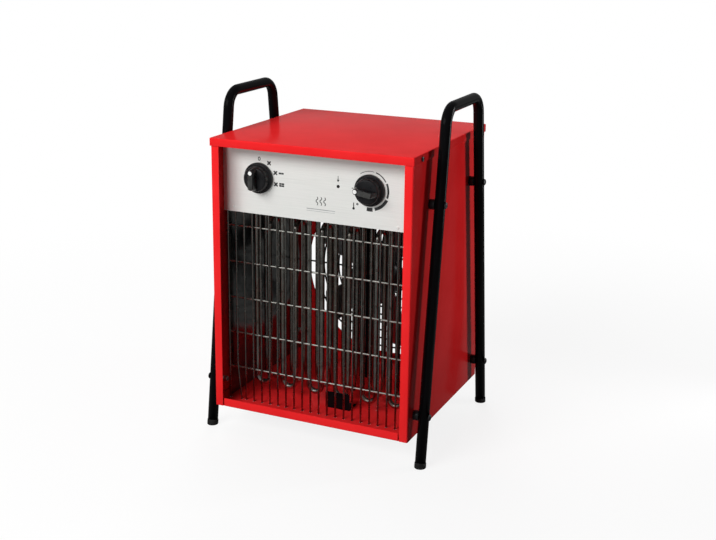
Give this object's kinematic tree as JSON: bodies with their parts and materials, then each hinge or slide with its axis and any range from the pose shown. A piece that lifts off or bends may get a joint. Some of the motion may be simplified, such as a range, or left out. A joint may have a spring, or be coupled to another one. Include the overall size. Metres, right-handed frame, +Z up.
{
  "type": "forced air heater",
  "caption": "Portable electric fan heater: red sheet steel cabinet with recessed wire grille, knobs on a brushed panel, and black tube frames that form legs and carrying handles.",
  "frame": {"origin": "on the floor, under the middle of the whole object's bounding box", "axes": "+Z up, the grille and controls face -Y, +X is the right side seen from the front"},
  "size_m": [0.3734, 0.3222, 0.525],
  "materials": {
    "red_paint": "glossy red powder coat",
    "black_paint": "glossy black powder coat",
    "brushed_plate": "fine horizontal brushing, satin",
    "grille_wire": "bare drawn steel wire, slightly darkened",
    "guard_wire": "black coated wire",
    "element_sheath": "dark heat-tinted tube",
    "black_plastic": "moulded, slight sheen",
    "foot_plastic": "moulded, matt",
    "black_bolt": "blackened steel",
    "zinc_plate": "zinc plated steel",
    "cream_plastic": "moulded, matt",
    "copper": "drawn copper tube",
    "polished_sheet": "polished steel sheet, nearly a mirror",
    "motor_case": "dark grey, satin",
    "fan_sheet": "pressed sheet, satin"
  },
  "bodies": {
    "root": {"right_side_panel": "red_paint", "right_frame_tube": "black_paint", "right_front_foot": "foot_plastic", "right_front_cover_screw": "black_bolt", "right_front_upper_spacer": "black_plastic", "right_front_upper_bolt": "black_bolt", "right_front_lower_spacer": "black_plastic", "right_front_lower_bolt": "black_bolt", "right_rear_foot": "foot_plastic", "right_rear_cover_screw": "black_bolt", "right_rear_upper_spacer": "black_plastic", "right_rear_upper_bolt": "black_bolt", "right_rear_lower_spacer": "black_plastic", "right_rear_lower_bolt": "black_bolt", "left_side_panel": "red_paint", "left_frame_tube": "black_paint", "left_front_foot": "foot_plastic", "left_front_cover_screw": "black_bolt", "left_front_upper_spacer": "black_plastic", "left_front_upper_bolt": "black_bolt", "left_front_lower_spacer": "black_plastic", "left_front_lower_bolt": "black_bolt", "left_rear_foot": "foot_plastic", "left_rear_cover_screw": "black_bolt", "left_rear_upper_spacer": "black_plastic", "left_rear_upper_bolt": "black_bolt", "left_rear_lower_spacer": "black_plastic", "left_rear_lower_bolt": "black_bolt", "top_cover": "red_paint", "base_pan": "red_paint", "rear_panel": "red_paint", "front_grille": "grille_wire", "rear_guard": "guard_wire", "control_panel": "brushed_plate", "control_tray": "zinc_plate", "thermostat_body": "zinc_plate", "cable_gland": "black_plastic", "gland_nut": "black_plastic", "heating_element_1": "element_sheath", "heating_element_2": "element_sheath", "heating_element_3": "element_sheath", "heating_element_4": "element_sheath", "heating_element_5": "element_sheath", "heating_element_6": "element_sheath", "element_bracket": "black_paint", "motor_strap": "black_paint", "motor_body": "motor_case", "rotary_switch": "cream_plastic", "thermal_cutout": "cream_plastic", "contactor": "cream_plastic", "terminal_block": "cream_plastic", "thermostat_sensor": "copper", "heat_shield": "polished_sheet"},
    "power_knob": {"power_knob": "black_plastic", "switch_shaft": "zinc_plate"},
    "thermostat_knob": {"thermostat_knob": "black_plastic", "thermostat_shaft": "zinc_plate"},
    "reset_button": {"reset_button": "black_plastic"},
    "fan": {"fan": "fan_sheet", "motor_shaft": "zinc_plate"}
  },
  "joints": [
    {"name": "power_knob_turn", "type": "hinge", "parent": "root", "child": "power_knob", "pos_m": [-0.097, -0.12775, 0.401], "axis": [0, 1, 0], "range_deg": [0, 105]},
    {"name": "thermostat_knob_turn", "type": "hinge", "parent": "root", "child": "thermostat_knob", "pos_m": [0.082, -0.12775, 0.401], "axis": [0, 1, 0], "range_deg": [0, 260]},
    {"name": "reset_button_press", "type": "slide", "parent": "root", "child": "reset_button", "axis": [0, 1, 0], "range_m": [0, 0.002], "stiffness_N_per_m": 400},
    {"name": "fan_spin", "type": "hinge", "parent": "root", "child": "fan", "pos_m": [0, 0.12065, 0.196], "axis": [0, 1, 0], "continuous": true}
  ]
}
